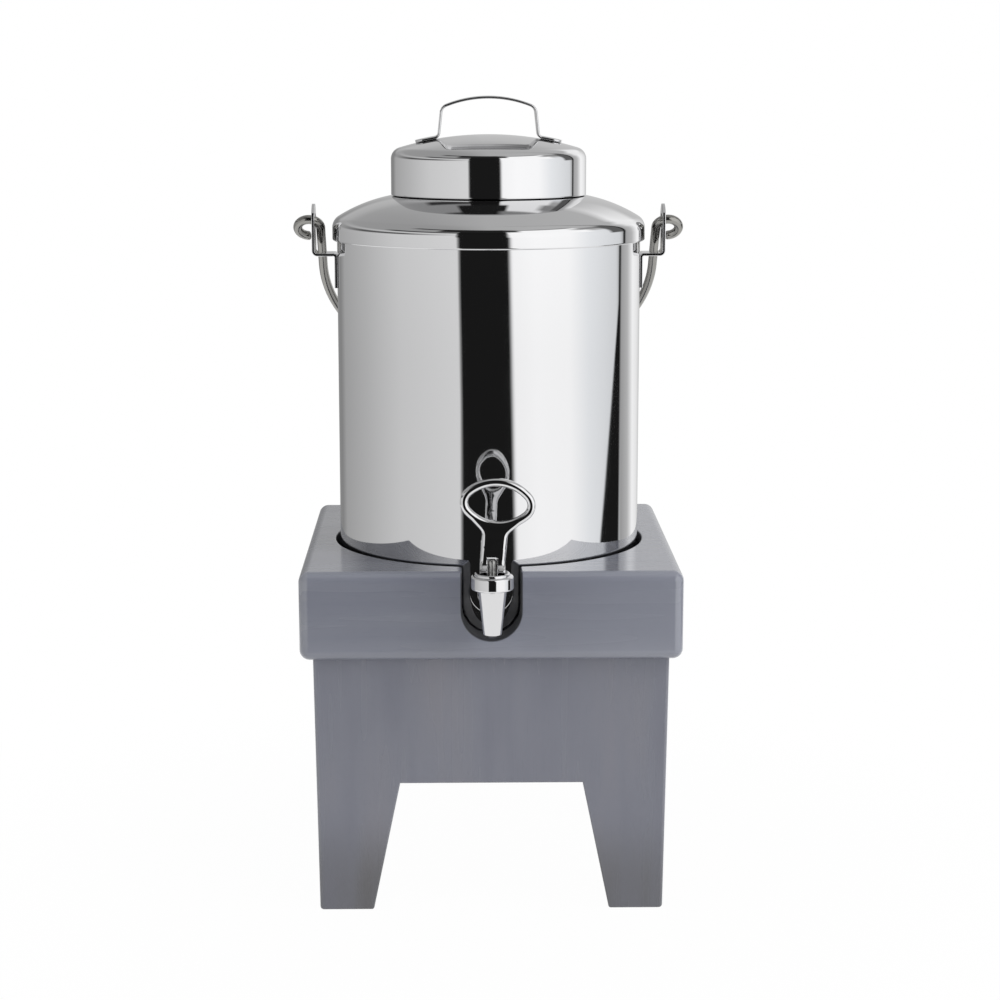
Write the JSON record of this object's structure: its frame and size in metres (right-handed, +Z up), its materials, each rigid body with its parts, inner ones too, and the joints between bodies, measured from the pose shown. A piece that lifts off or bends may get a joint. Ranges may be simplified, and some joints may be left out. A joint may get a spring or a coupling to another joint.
{
  "type": "milk dispenser",
  "caption": "Polished steel milk can with a lid, a wire carrying handle and a self-closing lever tap, standing in the pocket of a square wooden stand with tapered legs.",
  "frame": {"origin": "on the table, midway between the front of the tap and the back of the board, and midway between the two ears", "axes": "+Z up along the axis of the can, -Y towards the user on the side of the tap, +X to the right of the tap as the user sees it"},
  "size_m": [0.2388, 0.2685, 0.4785],
  "materials": {
    "stained_wood": "satin stain",
    "dowel_wood": "bare",
    "polished_steel": "mirror polished",
    "wire_steel": "polished",
    "inner_steel": "plain",
    "silicone": "matte"
  },
  "bodies": {
    "stand": {"top_board": "stained_wood", "front_panel": "stained_wood", "back_panel": "stained_wood", "left_panel": "stained_wood", "right_panel": "stained_wood", "dowels": "dowel_wood"},
    "can": {"can_body": "polished_steel", "can_shoulder": "polished_steel", "left_ear": "polished_steel", "right_ear": "polished_steel", "tap_body": "polished_steel", "tap_washer": "polished_steel", "outer_gasket": "silicone", "inner_gasket": "silicone", "tap_nut": "inner_steel", "tap_bonnet": "polished_steel", "tap_spring": "inner_steel"},
    "stem": {"tap_stem": "inner_steel", "seat_cup": "silicone", "lever_pin": "inner_steel"},
    "lever": {"tap_lever": "polished_steel"},
    "lid": {"lid_cap": "polished_steel", "lid_plug": "inner_steel", "lid_seal": "silicone", "lid_handle": "polished_steel"},
    "bail": {"bail": "wire_steel"}
  },
  "joints": [
    {"name": "can_lift", "type": "slide", "parent": "stand", "child": "can", "axis": [0, 0, 1], "range_m": [0, 0.06]},
    {"name": "lid_lift", "type": "slide", "parent": "can", "child": "lid", "axis": [0, 0, 1], "range_m": [0, 0.12]},
    {"name": "bail_swing", "type": "hinge", "parent": "can", "child": "bail", "pos_m": [0, 0.02225, 0.4037], "axis": [1, 0, 0], "range_deg": [0, 275]},
    {"name": "stem_lift", "type": "slide", "parent": "can", "child": "stem", "axis": [0, 0, 1], "range_m": [0, 0.0026], "deforming": ["tap_spring"]},
    {"name": "lever_tilt", "type": "hinge", "parent": "stem", "child": "lever", "pos_m": [0, -0.12225, 0.2205], "axis": [1, 0, 0], "range_deg": [0, 35], "stiffness_Nm_per_rad": 0.3}
  ],
  "couplings": [
    {"joint": "stem_lift", "follows": "lever_tilt", "m_per_rad": 0.0040926}
  ]
}
